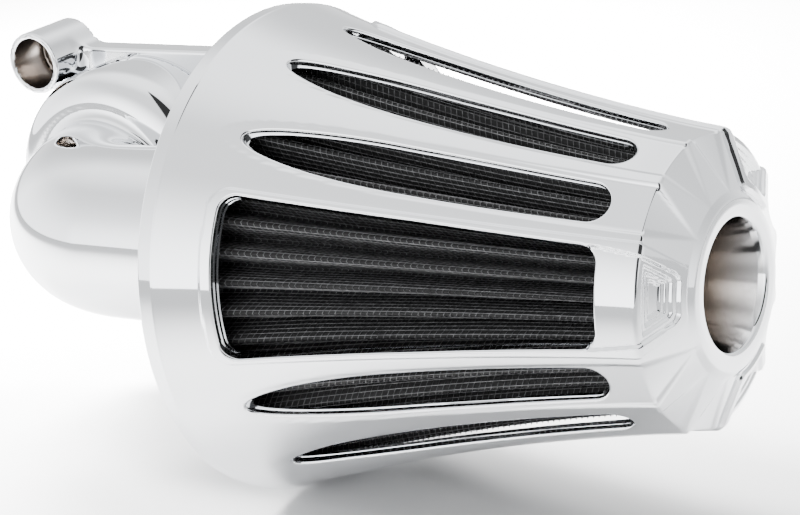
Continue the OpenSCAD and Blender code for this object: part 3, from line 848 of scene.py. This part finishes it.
scene = bpy.context.scene
AZIMUTH, ELEVATION, ROLL, LENS = 35.98, 17.70, 7.37, 117.0
CAMERA_AT = Vector((RIM_X + 525.6, AXIS_Y - 663.44, AXIS_Z + 260.91)) * MM
az, el, roll = (math.radians(v) for v in (AZIMUTH, ELEVATION, ROLL))
look = Vector((-math.sin(az) * math.cos(el), math.cos(az) * math.cos(el), -math.sin(el)))
right = look.cross(Vector((0, 0, 1))).normalized()
up = right.cross(look)
up, right = up * math.cos(roll) + right * math.sin(roll), right * math.cos(roll) - up * math.sin(roll)
camera = bpy.data.objects.new("camera", bpy.data.cameras.new("camera"))
scene.collection.objects.link(camera)
camera.data.sensor_width = 36
camera.data.lens = LENS
camera.data.clip_end = 20
view = Matrix((right, up, -look)).transposed().to_4x4()
view.translation = CAMERA_AT
camera.matrix_world = view
scene.camera = camera

FLOOR_Z = min(cad_size[0][2], shell_low[2] * MM) - 0.0005
floor_mesh = bpy.data.meshes.new("floor")
FLOOR_HALF = 6.0
corners = [(x * FLOOR_HALF, y * FLOOR_HALF, FLOOR_Z) for x, y in ((-1, -1), (1, -1), (1, 1), (-1, 1))]
floor_mesh.from_pydata(corners, [], [(0, 1, 2, 3)])
floor = bpy.data.objects.new("floor", floor_mesh)
scene.collection.objects.link(floor)
floor_mesh.materials.append(principled("floor_white", Base_Color=(0.6, 0.6, 0.6), Roughness=0.9)[0])


def area(name, at, towards, width, height, power):
    light = bpy.data.lights.new(name, "AREA")
    light.shape = "RECTANGLE"
    light.size, light.size_y, light.energy = width, height, power
    obj = bpy.data.objects.new(name, light)
    scene.collection.objects.link(obj)
    obj.location = at
    obj.rotation_euler = (Vector(towards) - Vector(at)).to_track_quat("-Z", "Y").to_euler()
    return obj


middle = Vector((RIM_X * MM + 0.04, AXIS_Y * MM, 0))
backdrop = middle + Vector((-0.4, 0.33, -0.085))
WASHES = (("wash_left", (-0.95, 0.1, 1.1), 38), ("wash_right", (0.25, 1.0, 1.1), 15),
          ("wash_back", (-0.75, 0.75, 1.1), 38))
WASH_SIZE, WASH_SPREAD = 0.7, 46
for name, side, power in WASHES:
    wash = area(name, middle + Vector(side), backdrop, WASH_SIZE, WASH_SIZE, power)
    wash.data.spread = math.radians(WASH_SPREAD)
    wash.visible_glossy = False

world = bpy.data.worlds.new("studio")
scene.world = world
world.use_nodes = True
tree = world.node_tree
background = tree.nodes["Background"]
background.inputs["Color"].default_value = (0.97, 0.985, 1.0, 1.0)
coords = tree.nodes.new("ShaderNodeTexCoord")
splitter = tree.nodes.new("ShaderNodeSeparateXYZ")
tree.links.new(coords.outputs["Generated"], splitter.inputs["Vector"])


def world_math(operation, first, second=None, clamp=False):
    node = tree.nodes.new("ShaderNodeMath")
    node.operation, node.use_clamp = operation, clamp
    for socket, value in zip(node.inputs, (first, second)):
        if value is None:
            continue
        if isinstance(value, (int, float)):
            socket.default_value = value
        else:
            tree.links.new(value, socket)
    return node.outputs[0]


def world_glow(azimuth, elevation, inner, outer):
    """1 within inner degrees of a direction, falling to 0 at outer; azimuth as the camera's."""
    az, el = math.radians(azimuth), math.radians(elevation)
    centre = (math.sin(az) * math.cos(el), -math.cos(az) * math.cos(el), math.sin(el))
    dot = tree.nodes.new("ShaderNodeVectorMath")
    dot.operation = "DOT_PRODUCT"
    dot.inputs[1].default_value = centre
    tree.links.new(coords.outputs["Generated"], dot.inputs[0])
    ramp = tree.nodes.new("ShaderNodeMapRange")
    ramp.interpolation_type = "SMOOTHSTEP"
    ramp.inputs["From Min"].default_value = math.cos(math.radians(outer))
    ramp.inputs["From Max"].default_value = math.cos(math.radians(inner))
    tree.links.new(dot.outputs["Value"], ramp.inputs["Value"])
    return ramp.outputs["Result"]


def world_range(value, from_low, from_high, to_low, to_high):
    node = tree.nodes.new("ShaderNodeMapRange")
    node.interpolation_type = "SMOOTHSTEP"
    limits = {"From Min": from_low, "From Max": from_high, "To Min": to_low, "To Max": to_high}
    for key, number in limits.items():
        node.inputs[key].default_value = number
    tree.links.new(value, node.inputs["Value"])
    return node.outputs["Result"]


# A white tent: brightest low down, greyer ahead of the nose and behind the part, with a dark gap
TENT_LOW, TENT_HIGH = 3.6, 1.7
GAP_AZIMUTH, GAP_HALF, GAP_SOFT, GAP_LEVEL = 52, 21, 5, 0.03
level = world_range(splitter.outputs["Z"], 0.0, 0.75, TENT_LOW, TENT_HIGH)
SHADES = ((135, -5, 15, 75, 0.55), (-150, 60, 15, 50, -0.6), (-144, 16, 6, 44, 0.6), (-5, 5, 10, 45, -0.5))
for azimuth, elevation, inner, outer, depth in SHADES:
    shade = world_math("MULTIPLY", world_glow(azimuth, elevation, inner, outer), depth)
    level = world_math("MULTIPLY", level, world_math("SUBTRACT", 1.0, shade))
backwards = world_math("MULTIPLY", splitter.outputs["Y"], -1.0)
turn = world_math("ARCTAN2", splitter.outputs["X"], backwards)
off_gap = world_math("ABSOLUTE", world_math("SUBTRACT", turn, math.radians(GAP_AZIMUTH)))
gap = world_range(off_gap, math.radians(GAP_HALF), math.radians(GAP_HALF + GAP_SOFT), GAP_LEVEL, 1.0)
level = world_math("MULTIPLY", level, gap)
tree.links.new(level, background.inputs["Strength"])
